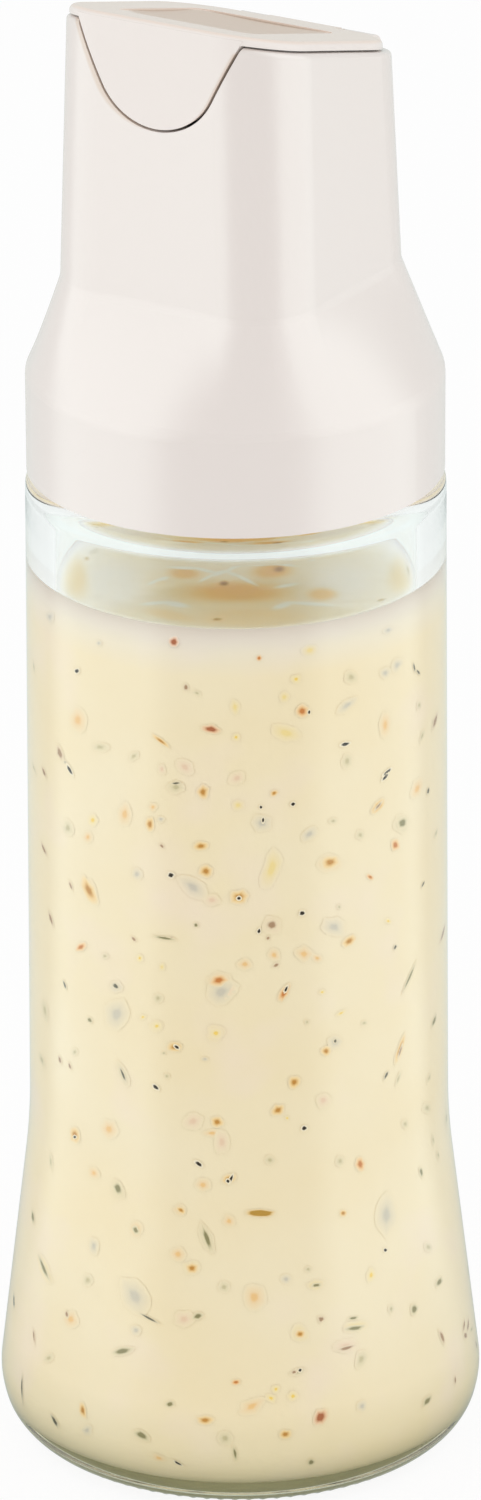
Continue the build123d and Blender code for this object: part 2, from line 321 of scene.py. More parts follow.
def dressing_cream(name, with_marks=False):
    """Cream dressing where the glass wets it, so that it has hardly any shine of its own."""
    cream = Nodes(name, CREAM, 0.5, Specular_IOR_Level=0.08)
    colour = cream.mix(cream.spread(cream.noise(45, 3), 0.35, 0.7), CREAM, DEEP_CREAM)
    colour = cream.mix(cream.spread(cream.noise(70, 2), 0.55, 0.75, 0, 0.6), colour, PINK_CREAM)
    height = cream.height()
    near_top = cream.spread(height, (FILL_Z - 7) * MM, FILL_Z * MM, 0, 0.75)
    colour = cream.mix(near_top, colour, TOP_CREAM)
    rim = cream.spread(height, (FILL_Z - 2.5) * MM, FILL_Z * MM, 0, 0.85)
    colour = cream.mix(rim, colour, RIM_CREAM)
    near_foot = cream.spread(height, (BASE + 0.4) * MM, (BASE - 0.1) * MM)
    colour = cream.mix(near_foot, colour, FOOT_CREAM)
    cream.feed("Base Color", marked(cream, colour) if with_marks else colour)
    return cream


def dressing_top():
    """The open top of the dressing, with a film of oil over cream that light from the side shines through."""
    oil = Nodes("dressing_top", OIL, 0.14, Specular_IOR_Level=0.25, Subsurface_Weight=1.0)
    oil.shader.inputs["Subsurface Scale"].default_value = OIL_DEPTH * MM
    oil.shader.inputs["Subsurface Radius"].default_value = (1.0, 1.0, 1.0)
    oil.bump(oil.noise(110, 2), 0.25, 0.001)
    colour = oil.mix(oil.spread(oil.noise(60, 3), 0.35, 0.65), OIL, PALE_OIL)
    oil.feed("Base Color", marked(oil, colour))
    return oil


def cap_plastic(name):
    plastic = Nodes(name, CAP_COLOUR, 0.24, Specular_IOR_Level=0.9)
    plastic.bump(plastic.noise(2600, 2), 0.04, 0.0001)
    return plastic


def past_notch(nodes, aside):
    """How far a point lies outside the notch's U when that is moved aside, in metres."""
    maths = nodes.maths

    def times_added(a, b, c, d):
        return maths("ADD", maths("MULTIPLY", a, b), maths("MULTIPLY", c, d))

    moved = nodes.node("VectorMath", {0: nodes.place, 1: Vector((aside, 0, -NOTCH_MIDDLE_Z)) * MM}, operation="ADD")
    parts = nodes.node("SeparateXYZ", {0: moved.outputs["Vector"]}).outputs
    x, z = maths("ABSOLUTE", parts["X"]), parts["Z"]
    c, s = math.cos(NOTCH_FLANK), math.sin(NOTCH_FLANK)
    above = maths("GREATER_THAN", times_added(x, c, z, s), 0.0)
    flank = times_added(x, s, z, -c)
    arc = maths("SQRT", times_added(x, x, z, z))
    beyond = maths("MULTIPLY", above, maths("SUBTRACT", flank, arc))
    return maths("SUBTRACT", maths("ADD", arc, beyond), NOTCH_ROUND * MM)


def cap_with_notch():
    """The cap's plastic, with painted shade along the notch's left edge, which is rounded there and half in shade.
    """
    plastic = cap_plastic("cap_plastic")
    # painted shade on the cap's rounded edge beside the notch's gap
    edge = plastic.spread(past_notch(plastic, NOTCH_SHADE_ON_CAP), -0.35 * MM, 0.1 * MM, 1, 0)
    depth = plastic.dot(plastic.place, Vector((0, 1, 0)))
    front = plastic.spread(depth, (NOTCH_FACE_Y - 0.5) * MM, (NOTCH_FACE_Y + 0.5) * MM, 1, 0)
    plastic.feed("Base Color", plastic.mix(plastic.maths("MULTIPLY", edge, front), CAP_COLOUR, NOTCH_SHADE_COLOUR))
    return plastic


def lid_plastic():
    """The same plastic on the lid, with painted shade: darker and duller in the dish, warmer and darker on the
    border round it, warmer along the tongue's side, and elsewhere painted lighter as a painted sheen."""
    plastic = cap_plastic("lid_plastic")
    over_rim = Vector((0, math.sin(RIM_SLOPE), math.cos(RIM_SLOPE)))
    along = Vector((0, math.cos(RIM_SLOPE), -math.sin(RIM_SLOPE)))
    corner = Vector((0, RIM_FRONT_Y, RIM_FRONT_Z)) * MM
    placed = plastic.node("VectorMath", {0: plastic.place, 1: corner}, operation="SUBTRACT").outputs["Vector"]

    def inside(value, middle, half):
        return plastic.maths("COMPARE", value, middle * MM, half * MM)

    half = LID_SIDE / 2
    rise = plastic.dot(placed, over_rim)
    low = inside(rise, LID_TOP - DISH_BAND[0], DISH_BAND[1])
    across = inside(plastic.dot(placed, Vector((1, 0, 0))), 0, half - DISH_INSET)
    lengthwise = inside(plastic.dot(placed, along), half + 0.6, half - DISH_INSET)
    dish = plastic.maths("MULTIPLY", plastic.maths("MULTIPLY", low, across), lengthwise)
    # painted shade on the tongue's side beside the notch's gap
    edge = plastic.spread(past_notch(plastic, NOTCH_SHADE_ON_LID), -0.15 * MM, 0.3 * MM)
    below = plastic.spread(rise, -1.2 * MM, -0.6 * MM, 1, 0)
    # painted shade: the lid's top warmer and darker than its sides
    colour = plastic.mix(plastic.spread(rise, 1.1 * MM, 1.4 * MM), LID_COLOUR_AND_SHEEN, LID_BORDER_SHADE)
    colour = plastic.mix(plastic.maths("MULTIPLY", edge, below), colour, NOTCH_SHADE_COLOUR)
    # painted shade: the dish darker than the rest of the top
    plastic.feed("Base Color", plastic.mix(dish, colour, LID_DISH_SHADE))
    plastic.feed("Roughness", plastic.spread(dish, 0, 1, 0.26, 0.6))
    plastic.shader.inputs["Specular IOR Level"].default_value = 0.2
    return plastic


def inner_plastic():
    plastic = Nodes("inner_plastic", (0.8, 0.77, 0.74), 0.45)
    plastic.bump(plastic.noise(1500, 3), 0.06, 0.0001)
    return plastic


def silicone():
    rubber = Nodes("silicone", (0.75, 0.75, 0.73), 0.5, Transmission_Weight=0.3)
    rubber.bump(rubber.noise(900, 2), 0.05, 0.0001)
    return rubber


def steel():
    wire = Nodes("steel", (0.62, 0.61, 0.6), 0.3, Metallic=1.0)
    stretched = wire.node("Mapping", {"Vector": wire.place, "Scale": (40, 2500, 2500)}).outputs["Vector"]
    wire.bump(wire.noise(1.0, 2, vector=stretched), 0.15, 0.00005)
    return wire


# Glass
def outer_line():
    points = [
        (BEARING_OUTER_R, 0),
        (HEEL_R, 0),
        (FLARE_FOOT_R, FLARE_FOOT_Z),
        (WAIST_R, WAIST_Z),
        (SHOULDER_R, SHOULDER_Z),
        (NECK_R, NECK_FOOT_Z),
        (NECK_R, NECK_TOP_Z),
        (NECK_BORE_R, NECK_TOP_Z),
    ]
    return rounded(points, [HEEL_ROUND, FOOT_ROUND, WAIST_ROUND, SHOULDER_ROUND, LIP_ROUND, LIP_ROUND])


def inner_line(into=0.0):
    """The inside of the glass from its floor's middle up to the lip, moved into the glass by a little."""
    foot_r = WAIST_R - WALL + LEAN * (WAIST_Z - BASE)
    points = [
        (0, BASE - into),
        (foot_r + into, BASE - into),
        (WAIST_R - WALL + into, WAIST_Z),
        (SHOULDER_R - WALL + into, SHOULDER_Z - INNER_SHOULDER_DROP),
        (NECK_BORE_R, NECK_FOOT_Z),
        (NECK_BORE_R, NECK_TOP_Z),
    ]
    return rounded(points, [INNER_HEEL_ROUND, WAIST_ROUND, INNER_SHOULDER_ROUND, INNER_SHOULDER_ROUND])


def push_up_line():
    """The dome under the base, from its middle out to the bearing ring."""
    dome = (BEARING_INNER_R**2 + PUSH_UP**2) / (2 * PUSH_UP)
    radii = [BEARING_INNER_R * k / DOME_STEPS for k in range(DOME_STEPS + 1)]
    return [Vector((r, math.sqrt(dome**2 - r**2) - dome + PUSH_UP)) for r in radii]


def knurl(r, z, angle):
    """Fine ribs across the bearing ring, which lift it off the table between them."""
    if z > KNURL_TOP or not BEARING_INNER_R + 0.1 < r < HEEL_R - 1.5:
        return 0
    return KNURL_DEPTH * (0.5 - 0.5 * math.cos(KNURL_RIBS * angle))


def make_glass(material):
    line = [Vector((max(0, r - TRIM), z)) for r, z in push_up_line() + outer_line() + inner_line()[::-1]]
    body = lathe("glass_body", split_long(line, 12.0), 6 * KNURL_RIBS, knurl)
    use(body, material)
    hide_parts("glass_bottle")
    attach(body, "bottle")


def helix(name, radius, material, body, slot, tip, height, foot, turns):
    """A screw thread with a rounded ridge that fades out at both ends, tip being its crest's radius."""
    steps, section = THREAD_STEPS, THREAD_SECTION
    verts, faces = [], []
    total = round(steps * turns)
    for k in range(total + 1):
        angle = TURN * k / steps
        fade = min(1, 6 * k / steps, 6 * (total - k) / steps)
        for j in range(section):
            across = j / (section - 1)
            rise = (tip - radius) * fade * math.sin(math.pi * across) ** 0.7
            r = radius + rise - (THREAD_SINK if tip > radius else -THREAD_SINK)
            z = foot + THREAD_PITCH * k / steps + height * (across - 0.5)
            verts.append((r * math.cos(angle), r * math.sin(angle), z))
    for k in range(total):
        for j in range(section - 1):
            a = k * section + j
            faces.append((a, a + section, a + section + 1, a + 1))
        faces.append((k * section + section - 1, (k + 2) * section - 1, (k + 1) * section, k * section))
    faces.append(tuple(range(section)))
    faces.append(tuple(reversed(range(total * section, (total + 1) * section))))
    thread = new_object(name, verts, faces)
    use(thread, material)
    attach(thread, body)


# Dressing
def top_rise(r, angle):
    """How far the dressing's top stands over the fill height: it climbs the glass a little and ripples."""
    top_r = radius_at(inner_line(CONTACT), FILL_Z)
    climb = MENISCUS * math.exp(-(top_r - r) / MENISCUS_REACH)
    if r > top_r - 0.5:
        return climb
    p = Vector((r * math.cos(angle), r * math.sin(angle), 0)) * 0.12
    return climb + 0.05 * noise.noise(p) + 0.02 * noise.noise(p * 2.7)


def make_dressing(material, top_material):
    """The dressing's body, its top in a material of its own, with the marks that float there as colours."""
    inner = inner_line(CONTACT)
    top_r = radius_at(inner, FILL_Z)
    line = [Vector((0, BASE - CONTACT))] + [p for p in inner if p[1] < FILL_Z and p[0] > 0]
    line.append(Vector((top_r, FILL_Z + MENISCUS)))
    wall = split_long(line, 5.0)
    top = [Vector((top_r * (1 - k / TOP_RINGS), FILL_Z)) for k in range(1, TOP_RINGS + 1)]

    def rise(r, z, angle):
        return top_rise(r, angle) if z == FILL_Z else 0

    body = lathe("dressing", wall + top, DRESSING_SEGMENTS, rise)
    use(body, material)
    body.data.materials.append(top_material.material)
    for face in body.data.polygons[-TOP_RINGS * DRESSING_SEGMENTS :]:
        face.material_index = 1
    marks = lay_out(TOP_MARKS, TOP_KINDS, on_top, (20, 20))
    colours = body.data.color_attributes.new("fleck", "FLOAT_COLOR", "POINT")
    for vertex, item in zip(body.data.vertices, colours.data):
        spot = vertex.co / MM
        on_the_top = spot.z > FILL_Z - 0.1 and spot.to_2d().length < top_r - 0.3
        item.color = blend_marks(spot.to_2d(), marks) if on_the_top else (1, 1, 1, 0)
    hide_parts("dressing_fill")
    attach(body, "bottle")


# Flecks in the dressing, read from the photograph. Each row has the middle's x and y, the length and
# the width in its pixels, and the lean in degrees, counter-clockwise from level.
FLECKS = {
    "pepper": [
        (77, 671, 4, 4, 0), (70, 770, 10, 2.6, -60), (171, 875, 5, 4, 0), (293, 804, 4, 3, 30),
        (387, 772, 8, 2.4, 45), (385, 777, 8, 2.4, 50), (259, 931, 4, 3, 70), (302, 913, 5, 3.6, 30),
        (156, 1087, 6.5, 3, -40), (199, 1164, 7, 3.4, -35), (231, 1179, 8, 2.6, 65), (304, 1128, 4.5, 3.6, 20),
        (385, 1250, 3, 3, 0), (177, 1047, 5, 2.4, -30), (286, 989, 6, 2.2, 65), (178, 1463, 8, 1.8, -30),
        (75, 1137, 2.6, 2.6, 0), (300, 1370, 3.4, 2.6, 60), (261, 807, 2.6, 2.6, 0), (263, 820, 2.4, 4, 0),
        (309, 712, 2, 4, 0), (345, 744, 7, 3, 15), (239, 898, 3.4, 3, 0), (228, 1181, 3.4, 3, 0),
    ],
    "dill": [
        (207, 1238, 22, 4.6, -70), (118, 1188, 11, 6.5, -70), (44, 1268, 21, 3.2, -66), (409, 978, 25, 2.0, 67),
        (122, 1351, 17, 6, 15), (142, 1435, 13, 6, -28), (427, 1401, 10, 4.4, 55), (439, 1282, 9, 4, 65),
        (311, 1462, 6, 5, 40), (316, 1285, 8, 3.4, 10), (235, 1453, 11, 3, -80), (170, 1404, 7, 5, 10),
        (414, 1309, 8, 5.5, 80), (90, 1020, 5, 3.4, -50), (33, 1217, 11, 2.4, -85), (434, 1021, 10, 2.4, 72),
        (421, 1172, 8, 3, -80), (402, 823, 9, 7, 60), (355, 1328, 15, 4.4, 10), (353, 1318, 8, 3, 15),
        (136, 1230, 7, 4.4, -60), (198, 1316, 8, 5.5, 25), (196, 925, 3.6, 3.6, 0), (165, 938, 19, 2.6, -9),
    ],
    "dark_dill": [
        (123, 1074, 14, 2.2, -68), (67, 764, 7, 2.4, -50), (386, 1075, 8, 2.2, 64), (65, 985, 8, 2, -72),
        (116, 986, 6, 4, -40), (418, 672, 5, 2, -60), (414, 667, 8, 1.6, -80), (428, 791, 6, 2, 80),
        (395, 947, 5, 2.4, 65), (22, 1387, 23, 1.5, -87), (14, 1301, 13, 1.4, -88), (423, 884, 6, 1.6, 65),
        (149, 1318, 17, 2, -28), (55, 1421, 13, 3, -60), (176, 783, 8, 2, 5), (335, 1041, 4, 3, 60),
    ],
    "amber": [
        (203, 792, 8, 9, 0), (150, 824, 6, 9, 0), (201, 846, 10, 6, 10), (206, 871, 9, 8, 20), (89, 890, 19, 7, -62),
        (239, 897, 12, 9, 10), (330, 862, 12, 8, 20), (294, 1082, 8, 8.6, 60), (278, 1110, 9, 7, 25),
        (326, 1051, 7, 6.4, 30), (400, 1049, 19, 3.8, 73), (349, 941, 10, 6, 40), (300, 1334, 7, 6, 0),
        (229, 1179, 10, 6, 20), (205, 1420, 11, 6, 0), (285, 1434, 8, 6, 15), (217, 1122, 8, 7, 0),
        (274, 793, 6, 4, 30), (378, 806, 11, 6, 50), (192, 1268, 9, 7, 0), (343, 1213, 5, 5, 60),
        (181, 1210, 7, 3.6, -40), (161, 741, 15, 3, -34), (175, 1047, 10, 6, 0), (75, 1135, 7, 11, 10),
        (83, 1410, 5, 11, 10),
    ],
    "orange": [
        (302, 711, 8, 8.6, 0), (219, 980, 12, 7.6, 20), (284, 993, 13, 5.4, 62), (360, 1164, 6.5, 8.6, 10),
        (395, 845, 5.6, 8, 0), (370, 877, 5, 3.6, -30), (236, 1382, 6, 4, 5), (259, 658, 4.6, 4, 40),
        (81, 947, 5, 8, -60),
    ],
    "chili": [(211, 729, 13, 6, -6), (320, 1417, 12, 9, 60), (174, 642, 7, 7.6, 0)],
    "brown": [
        (186, 687, 4.4, 6, 0), (60, 753, 12, 4.6, -70), (51, 919, 14, 2.4, -72), (134, 939, 6, 3, -50),
        (272, 925, 10, 8, 20), (268, 938, 4, 3, 30), (60, 1060, 7, 2.6, -75), (321, 1319, 6, 5, 0),
        (346, 1348, 15, 3.2, 17), (435, 721, 15, 3, 76), (442, 1337, 13, 3.4, -70), (464, 1325, 12, 1.6, 86),
        (468, 1325, 12, 1.6, 86), (294, 1372, 5, 3, 20), (443, 933, 18, 1.8, 77), (44, 772, 10, 2.4, -72),
        (71, 886, 9, 2.2, -70), (44, 849, 13, 2, -68), (34, 1336, 13, 1.6, -84), (455, 1380, 8, 1.6, -88),
        (276, 965, 6, 3.4, 30), (171, 938, 6, 2.4, -9), (67, 1314, 3, 6, 10), (400, 1051, 13, 1.6, 73),
        (162, 846, 5, 2.6, -40), (217, 619, 5, 2, 0), (378, 806, 9, 2, 50), (70, 1066, 7, 2, -70),
    ],
    "mustard": [(261, 1213, 27, 6, -1)],
    "yellow": [
        (236, 737, 6, 6, 0), (296, 679, 7, 6.4, 0), (157, 1026, 7, 5.4, 0), (216, 1033, 9, 8.6, 20),
        (143, 1017, 5, 4, 0), (388, 921, 4, 5, 60), (322, 992, 5, 4, 0), (287, 1118, 3.6, 3.6, 0),
        (293, 1396, 8, 6.6, 20), (276, 1389, 6, 5.4, 30), (271, 1398, 6, 8, 60), (341, 1013, 8, 3, 30),
        (93, 820, 7, 9, 0), (371, 1275, 6, 11, -8), (140, 958, 5, 6, 0),
    ],
    "soft_orange": [
        (78, 720, 13, 18, 8), (125, 814, 10, 18, 0), (109, 1129, 13, 15, 20), (245, 964, 12, 9, 0),
        (274, 955, 10, 9, 0), (254, 1297, 17, 21, 10), (252, 1406, 21, 12, 28), (71, 1319, 12, 13, 0),
        (178, 1254, 12, 12, 0), (229, 1221, 9, 9, 0), (385, 725, 9, 18, -5), (417, 789, 8, 16, -15),
        (153, 807, 7, 7, 0), (203, 1185, 12, 10, 0), (212, 1133, 13, 6, 0), (88, 837, 8, 9, 0), (94, 1173, 9, 9, 0),
        (89, 890, 22, 11, -62), (219, 981, 20, 14, 10), (330, 863, 18, 14, 10), (304, 954, 13, 12, 0),
        (317, 958, 9, 6, -20), (136, 1229, 11, 12, 0), (180, 1210, 11, 8, -30), (159, 1458, 12, 6, -20),
    ],
    "soft_yellow": [
        (286, 733, 34, 12, -8), (272, 868, 33, 14, 74), (310, 650, 13, 9, 20), (284, 697, 8, 8, 0),
        (235, 707, 7, 12, 0), (162, 967, 6, 6, 0), (238, 805, 10, 8, 0), (192, 1268, 14, 11, 0),
        (157, 1026, 11, 9, 0), (216, 1033, 13, 13, 0), (316, 1285, 13, 8, 10), (355, 1327, 20, 9, 10),
        (300, 1334, 13, 14, 0), (44, 1268, 23, 8, -66),
    ],
    "soft_pink": [
        (185, 767, 15, 10, -25), (237, 778, 13, 9, 20), (193, 1121, 16, 13, 20), (222, 1142, 11, 18, 0),
        (323, 1100, 12, 11, 40), (184, 1319, 15, 13, 0), (212, 900, 13, 9, 0), (162, 769, 6, 9, 0),
        (272, 925, 14, 13, 0), (225, 990, 19, 13, 0), (346, 1346, 18, 10, 17),
    ],
    "soft_olive": [
        (158, 998, 8, 8, 0), (45, 1010, 18, 5, -82), (42, 1060, 13, 4, -72), (176, 787, 12, 10, 0),
        (351, 677, 10, 11, 0), (347, 761, 8, 12, 0), (134, 756, 6, 9, -60), (333, 821, 7, 5, 10),
        (225, 1438, 12, 11, 0), (340, 1161, 7, 8, 0), (361, 1359, 9, 14, -20), (391, 1309, 5, 8, 0),
        (49, 1358, 6, 9, -60), (298, 1372, 12, 6, 15), (100, 747, 13, 7, 0), (68, 828, 9, 12, 0),
        (207, 1238, 25, 9, -70), (118, 1189, 15, 10, -70), (123, 1074, 20, 7, -68), (197, 693, 7, 4, -20),
        (402, 824, 13, 13, 0), (51, 1162, 14, 3, -86), (433, 1140, 9, 2.4, -85), (438, 1155, 8, 2.4, -80),
        (429, 1078, 9, 3, 72), (398, 1079, 12, 3, 72), (436, 833, 9, 2.4, 74), (422, 736, 12, 3, 74),
        (419, 705, 8, 4, 80), (270, 1160, 8, 7, 0), (308, 1269, 6, 5, 0), (428, 1247, 7, 8, 0), (88, 1280, 8, 10, 0),
        (224, 1287, 10, 9, 0), (427, 1108, 7, 9, 0), (405, 1124, 6, 8, 0), (75, 1052, 5, 6, 0), (167, 1076, 5, 5, 0),
        (164, 1053, 4, 3, 0), (364, 1023, 6, 4, 30), (307, 1022, 4, 4, 0), (339, 907, 4, 4, 0), (105, 956, 6, 5, 0),
        (360, 835, 7, 7, 0), (34, 768, 10, 1.6, -72),
    ],
    "smoke": [
        (193, 887, 25, 13, -28), (135, 1296, 34, 20, -50), (136, 1330, 9, 8, 0), (117, 1014, 30, 22, 0),
        (262, 823, 15, 14, 0), (397, 665, 13, 8, 60), (385, 673, 9, 8, 30), (388, 630, 8, 6, 20),
        (347, 705, 18, 8, 40), (334, 927, 19, 14, -20), (94, 1246, 8, 13, 0), (286, 1279, 8, 7, 0),
        (386, 1215, 17, 30, 0), (362, 1406, 8, 10, 0), (309, 834, 15, 9, 35), (50, 617, 7, 9, 0),
        (137, 874, 9, 9, 0), (335, 1042, 11, 11, 40), (87, 1430, 9, 8, 0), (116, 987, 10, 9, 0),
        (205, 1059, 6, 4, 0), (161, 819, 6, 5, 0), (99, 643, 5, 5, 0), (221, 992, 26, 18, 20),
    ],
}

# How each kind looks: the colours of its middle and of its halo, how strongly it shows, the share of its size
# that is firm, and how far the halo reaches
FLECK_KINDS = {
    "soft_yellow": ((0.90, 0.70, 0.26), (0.90, 0.70, 0.26), 0.8, 0.3, 1.25),
    "soft_orange": ((0.88, 0.52, 0.18), (0.90, 0.58, 0.26), 0.8, 0.25, 1.25),
    "soft_pink": ((0.80, 0.52, 0.36), (0.84, 0.58, 0.44), 0.6, 0.25, 1.25),
    "smoke": ((0.46, 0.45, 0.41), (0.52, 0.51, 0.46), 0.6, 0.25, 1.25),
    "soft_olive": ((0.42, 0.37, 0.17), (0.50, 0.46, 0.26), 0.6, 0.25, 1.25),
    "yellow": ((0.92, 0.62, 0.08), (0.94, 0.74, 0.26), 0.85, 0.3, 1.4),
    "amber": ((0.55, 0.24, 0.025), (0.92, 0.55, 0.12), 0.95, 0.35, 1.5),
    "orange": ((0.60, 0.19, 0.025), (0.92, 0.47, 0.12), 0.95, 0.4, 1.5),
    "mustard": ((0.50, 0.27, 0.03), (0.80, 0.52, 0.16), 0.97, 0.75, 1.2),
    "chili": ((0.42, 0.11, 0.03), (0.80, 0.36, 0.16), 0.95, 0.5, 1.4),
    "brown": ((0.30, 0.14, 0.06), (0.70, 0.52, 0.36), 0.8, 0.5, 1.3),
    "dill": ((0.20, 0.18, 0.06), (0.58, 0.52, 0.30), 0.88, 0.5, 1.35),
    "dark_dill": ((0.06, 0.06, 0.03), (0.55, 0.50, 0.36), 0.92, 0.55, 1.35),
    "pepper": ((0.03, 0.02, 0.01), (0.96, 0.88, 0.70), 1.0, 0.7, 1.6),
}

# What floats on the dressing's top, read and drawn in the same way
TOP_MARKS = {
    "pale_film": [(116, 584, 74, 52, -6), (342, 582, 76, 50, 6)],
    "deep_film": [
        (184, 573, 36, 13, -4), (272, 571, 46, 17, 4), (236, 592, 120, 24, 0), (322, 594, 34, 14, 0),
        (74, 574, 30, 56, 0), (404, 572, 30, 52, 0),
    ],
    "orange_film": [(250, 618, 150, 26, 0), (170, 615, 60, 12, -10)],
    # pale streaks: foam, with painted highlights of the ripples along them
    "foam": [
        (184, 567.5, 27, 2.6, -2), (205, 570, 21, 2.6, -13), (221, 572, 13, 2.6, 7), (234, 567, 18, 3, 28),
        (254, 563, 27, 2.6, 0), (280, 564, 29, 2.6, -6), (206, 578, 14, 2.6, 27), (219, 573, 15, 3.2, 17),
        (231, 573, 12, 2.6, -21), (245, 579, 22, 3, -25), (155, 603, 24, 3, 5), (176, 604, 22, 4.5, -8),
        (283, 605, 18, 4.5, 15), (311, 603.5, 42, 3.2, -4), (287, 585, 20, 3, 9), (154, 581.6, 12, 2.8, 23),
        (163, 578.5, 11, 2.8, 14), (312, 557, 6, 5, -40),
    ],
    "grain": [
        (224, 583, 9, 5, 0), (279, 569, 11, 6, 5), (217, 619, 8, 2.6, 0), (87, 558, 5, 4, 0), (381, 600, 9, 2.6, 12),
    ],
}
TOP_KINDS = {
    "pale_film": ((1.0, 0.79, 0.62), (1.0, 0.75, 0.56), 0.85, 0.3, 1.15),
    "deep_film": ((0.88, 0.50, 0.16), (0.92, 0.58, 0.24), 0.85, 0.35, 1.15),
    "orange_film": ((1.0, 0.62, 0.33), (1.0, 0.65, 0.38), 0.85, 0.35, 1.15),
    # pale streaks: foam, with painted highlights of the ripples along them
    "foam": ((1.0, 0.84, 0.67), (1.0, 0.82, 0.63), 1.0, 0.5, 1.5),
    "grain": ((0.38, 0.22, 0.03), (0.62, 0.42, 0.12), 0.9, 0.3, 1.4),
}


def meet(start, along, line):
    """Where a ray first meets the wall that a line in (r, z) makes, found by closing in on its radius."""
    radius, point = WAIST_R, start
    across = along.x**2 + along.y**2
    half = start.x * along.x + start.y * along.y
    for _ in range(14):
        gap = max(0, half**2 - across * (start.x**2 + start.y**2 - radius**2))
        point = start - along * ((half + math.sqrt(gap)) / across)
        radius = (radius + radius_at(line, point.z)) / 2
    return point


def refract(ray, normal, ratio):
    """A ray that meets a surface, whose normal faces it, bent by a ratio of refractive indices."""
    facing = -normal.dot(ray)
    return ray * ratio + normal * (ratio * facing - math.sqrt(max(0, 1 - ratio**2 * (1 - facing**2))))


def look_through(x, y, outer, inner):
    """Where the line of sight through a pixel of the photograph reaches the dressing's wall, and its way there."""
    place, right, up, forward = camera_axes()
    ray = (forward + right * ((x - IMAGE_W / 2) / FOCAL_PX) - up * ((y - IMAGE_H / 2) / FOCAL_PX)).normalized()
    entry = meet(place, ray, outer)
    slope = (radius_at(outer, entry.z + 0.2) - radius_at(outer, entry.z - 0.2)) / 0.4
    flat = Vector((entry.x, entry.y, 0)).normalized()
    inside = refract(ray, (flat - Vector((0, 0, slope))).normalized(), 1 / GLASS_IOR)
    return meet(entry, inside, inner), inside


def on_wall(x, y, outer, inner):
    """The angle and the height on the dressing's wall that a pixel of the photograph shows."""
    spot, _ = look_through(x, y, outer, inner)
    return Vector((math.atan2(spot.y, spot.x), spot.z))


def on_top(x, y, outer, inner):
    """The place on the dressing's top that a pixel of the photograph shows."""
    spot, inside = look_through(x, y, outer, inner)
    out = refract(inside, Vector((spot.x, spot.y, 0)).normalized(), GLASS_IOR)
    return (spot + out * ((FILL_Z - spot.z) / out.z)).to_2d()


def lay_out(rows, kinds, onto, longest):
    """Each mark's kind, middle and half axes on its surface, kept short where the glass's edge stretches them."""
    outer, inner = outer_line(), inner_line(CONTACT)

    def half_axis(x, y, middle):
        step = onto(x, y, outer, inner) - middle
        return Vector([max(-most, min(most, part)) for part, most in zip(step, longest)])

    placed = []
    for kind in kinds:
        for x, y, length, width, lean in rows[kind]:
            c, s = math.cos(math.radians(lean)), math.sin(math.radians(lean))
            a, b = FLECK_GROWTH * length / 2, FLECK_GROWTH * width / 2
            middle = onto(x, y, outer, inner)
            along, across = half_axis(x + c * a, y - s * a, middle), half_axis(x - s * b, y - c * b, middle)
            placed.append((kind, middle, along, across))
    return placed


def mark_points(middle, along, across, look, chance):
    """Rings of points about a mark's middle on its surface, each with its colour and share."""
    core, halo, strength, firm, reach = look
    points = [(middle, core, strength)]
    edge = [1 + chance.uniform(-0.16, 0.16) for _ in range(FLECK_SIDES)]
    half_way = (firm + reach) / 2 if firm > 0.3 else 0.55
    for size, colour, share in ((max(firm, 0.2), core, 1.0), (half_way, halo, 0.5), (reach, halo, 0.0)):
        for k in range(FLECK_SIDES):
            turn = TURN * k / FLECK_SIDES
            spot = middle + along * (size * edge[k] * math.cos(turn)) + across * (size * edge[k] * math.sin(turn))
            points.append((spot, colour, strength * share))
    return points


def add_patches(placed, put, nodes):
    """One mesh of flat patches, laid on the dressing's wall by put, that carry their colours and shares."""
    chance = random.Random(11)
    kinds = list(FLECK_KINDS)
    verts, faces, shares = [], [], []
    for count, (kind, middle, along, across) in enumerate(placed):
        lift = 0.02 + 0.05 * kinds.index(kind) / len(kinds) + 0.0001 * (count % 30)
        first = len(verts)
        for spot, colour, share in mark_points(middle, along, across, FLECK_KINDS[kind], chance):
            verts.append(put(spot, lift))
            shares.append((*colour, share))
        for k in range(FLECK_SIDES):
            n = (k + 1) % FLECK_SIDES
            faces.append((first, first + 1 + k, first + 1 + n))
            for ring in range(2):
                a = first + 1 + ring * FLECK_SIDES
                faces.append((a + k, a + k + FLECK_SIDES, a + n + FLECK_SIDES, a + n))
    marks = new_object("herb_flecks", verts, faces)
    colours = marks.data.color_attributes.new("fleck", "FLOAT_COLOR", "POINT")
    for item, share in zip(colours.data, shares):
        item.color = share
    use(marks, nodes)
    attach(marks, "bottle")


def add_flecks(nodes):
    """The flecks that the photograph shows, and as many behind of the same kinds and sizes."""
    inner = inner_line(CONTACT)
    front = lay_out(FLECKS, FLECK_KINDS, on_wall, (0.07, 2.6))
    chance = random.Random(7)
    low, high = BASE + 6, FILL_Z - 3
    behind = []
    for kind, middle, along, across in front:
        z = low + (middle[1] - low + chance.uniform(0, high - low)) % (high - low)
        turned = middle[0] + math.pi + chance.uniform(-0.5, 0.5)
        behind.append((kind, Vector((turned, z)), along, across))

    def put(spot, lift):
        z = min(max(spot[1], BASE + 0.3), FILL_Z - 0.05)
        r = radius_at(inner, z) + CONTACT + lift
        return r * math.cos(spot[0]), r * math.sin(spot[0]), z

    add_patches(front + behind, put, nodes)


